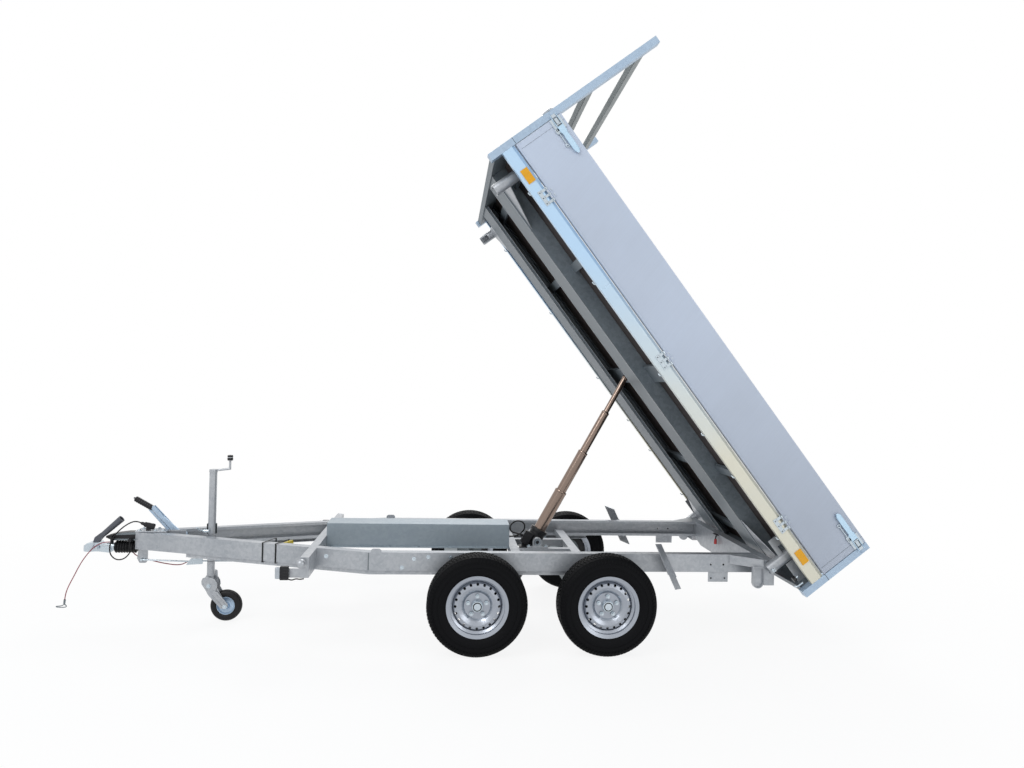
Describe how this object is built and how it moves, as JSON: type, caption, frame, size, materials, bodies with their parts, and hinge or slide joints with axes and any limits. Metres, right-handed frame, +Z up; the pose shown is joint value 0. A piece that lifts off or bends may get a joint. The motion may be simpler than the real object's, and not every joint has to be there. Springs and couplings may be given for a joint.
{
  "type": "tipping trailer",
  "caption": "Tandem-axle tipping trailer with a raised drop-side bed, telescopic lifting cylinder, V drawbar, ladder rack and jockey wheel.",
  "frame": {"origin": "centre of the tow ball in the coupling", "axes": "+X rearward along the trailer, +Y to its right side, +Z up"},
  "size_m": [4.9952, 1.842, 3.6162],
  "materials": {
    "galvanised": "spangled hot-dip galvanised steel",
    "sheet": "pale anodised aluminium",
    "zinc": "bright zinc plated steel",
    "tyre": "matt black rubber",
    "rim": "silver lacquer",
    "stage": "hard chrome, slightly brown",
    "black_paint": "satin black paint",
    "rubber": "matt black rubber",
    "plastic": "dark grey plastic",
    "floor": "dark film-faced ply",
    "amber": "amber reflector",
    "clear": "clear lens",
    "red": "red lens",
    "red_cable": "red sleeved wire",
    "yellow": "yellow moulded plastic"
  },
  "bodies": {
    "chassis": {"axle_front": "galvanised", "axle_rails": "galvanised", "axle_rear": "galvanised", "bellows": "rubber", "brake_linkage": "zinc", "breakaway_cable": "red_cable", "breakaway_hook": "zinc", "chassis_beam_left": "galvanised", "chassis_beam_right": "galvanised", "coupling_handle": "plastic", "coupling_head": "zinc", "cylinder_cradle": "galvanised", "front_cross_beam": "galvanised", "handbrake_lever": "zinc", "hydraulic_hose": "rubber", "jockey_clamp": "zinc", "jockey_outer_tube": "zinc", "marker_lamps": "clear", "overrun_housing": "galvanised", "plug": "plastic", "plug_lead": "rubber", "pump_box": "galvanised", "rear_brackets": "galvanised", "rear_cross_beam": "galvanised", "tail_lamps": "red", "valve_block": "black_paint", "wheel_chock": "yellow"},
    "wheel_front_left": {"rim_front_left": "rim", "tyre_front_left": "tyre"},
    "wheel_front_right": {"rim_front_right": "rim", "tyre_front_right": "tyre"},
    "wheel_rear_left": {"rim_rear_left": "rim", "tyre_rear_left": "tyre"},
    "wheel_rear_right": {"rim_rear_right": "rim", "tyre_rear_right": "tyre"},
    "jockey_leg": {"jockey_leg": "zinc"},
    "jockey_wheel": {"jockey_rim": "zinc", "jockey_tyre": "tyre"},
    "lift_housing": {"cylinder_housing": "black_paint"},
    "lift_stage_1": {"cylinder_stage_1": "stage"},
    "lift_stage_2": {"cylinder_stage_2": "stage"},
    "lift_stage_3": {"cylinder_stage_3": "stage"},
    "lift_stage_4": {"cylinder_stage_4": "stage"},
    "drop_side_left": {"side_board_left": "sheet", "board_latches_left": "zinc"},
    "drop_side_right": {"side_board_right": "sheet", "board_latches_right": "zinc"},
    "bed": {"corner_posts": "galvanised", "side_rails": "galvanised", "bed_cross_members": "galvanised", "bed_long_left": "galvanised", "bed_long_right": "galvanised", "bed_sockets": "galvanised", "eye_bracket": "galvanised", "bed_floor": "floor", "front_board": "sheet", "tailgate": "sheet", "ladder_rack": "galvanised", "reflectors": "amber", "rail_hinges": "zinc"}
  },
  "joints": [
    {"name": "wheel_front_left_spin", "type": "hinge", "parent": "chassis", "child": "wheel_front_left", "pos_m": [2.498, -0.7445, -0.1605], "axis": [0, 1, 0], "continuous": true},
    {"name": "wheel_front_right_spin", "type": "hinge", "parent": "chassis", "child": "wheel_front_right", "pos_m": [2.498, 0.7445, -0.1605], "axis": [0, 1, 0], "continuous": true},
    {"name": "wheel_rear_left_spin", "type": "hinge", "parent": "chassis", "child": "wheel_rear_left", "pos_m": [3.266, -0.7445, -0.1605], "axis": [0, 1, 0], "continuous": true},
    {"name": "wheel_rear_right_spin", "type": "hinge", "parent": "chassis", "child": "wheel_rear_right", "pos_m": [3.266, 0.7445, -0.1605], "axis": [0, 1, 0], "continuous": true},
    {"name": "bed_tip", "type": "hinge", "parent": "chassis", "child": "bed", "pos_m": [4.275, 0, 0.075], "axis": [0, 1, 0], "range_deg": [-52.24, 0]},
    {"name": "drop_side_left_hinge", "type": "hinge", "parent": "bed", "child": "drop_side_left", "pos_m": [3.57837, -0.915, 1.2716], "axis": [0.6124, 0, -0.7906], "range_deg": [0, 175]},
    {"name": "drop_side_right_hinge", "type": "hinge", "parent": "bed", "child": "drop_side_right", "pos_m": [3.57837, 0.915, 1.2716], "axis": [-0.6124, 0, 0.7906], "range_deg": [0, 175]},
    {"name": "lift_trunnion", "type": "hinge", "parent": "chassis", "child": "lift_housing", "pos_m": [2.92, 0, 0.08], "axis": [0, 1, 0], "range_deg": [-22.53, 0]},
    {"name": "lift_stage_1_slide", "type": "slide", "parent": "lift_housing", "child": "lift_stage_1", "axis": [0.4769, 0, 0.8789], "range_m": [-0.2992, 0]},
    {"name": "lift_stage_2_slide", "type": "slide", "parent": "lift_stage_1", "child": "lift_stage_2", "axis": [0.4769, 0, 0.8789], "range_m": [-0.3102, 0]},
    {"name": "lift_stage_3_slide", "type": "slide", "parent": "lift_stage_2", "child": "lift_stage_3", "axis": [0.4769, 0, 0.8789], "range_m": [-0.3172, 0]},
    {"name": "lift_stage_4_slide", "type": "slide", "parent": "lift_stage_3", "child": "lift_stage_4", "axis": [0.4769, 0, 0.8789], "range_m": [-0.25455, 0]},
    {"name": "jockey_swivel", "type": "hinge", "parent": "chassis", "child": "jockey_leg", "pos_m": [0.79, -0.1, -0.22], "axis": [0, 0, 1], "continuous": true},
    {"name": "jockey_wheel_spin", "type": "hinge", "parent": "jockey_leg", "child": "jockey_wheel", "pos_m": [0.895, -0.1, -0.355], "axis": [0, 1, 0], "continuous": true}
  ],
  "couplings": [
    {"joint": "lift_trunnion", "follows": "bed_tip", "ratio": 0.43115},
    {"joint": "lift_stage_1_slide", "follows": "bed_tip", "m_per_rad": 0.32794},
    {"joint": "lift_stage_2_slide", "follows": "bed_tip", "m_per_rad": 0.34},
    {"joint": "lift_stage_3_slide", "follows": "bed_tip", "m_per_rad": 0.34768},
    {"joint": "lift_stage_4_slide", "follows": "bed_tip", "m_per_rad": 0.27897}
  ]
}
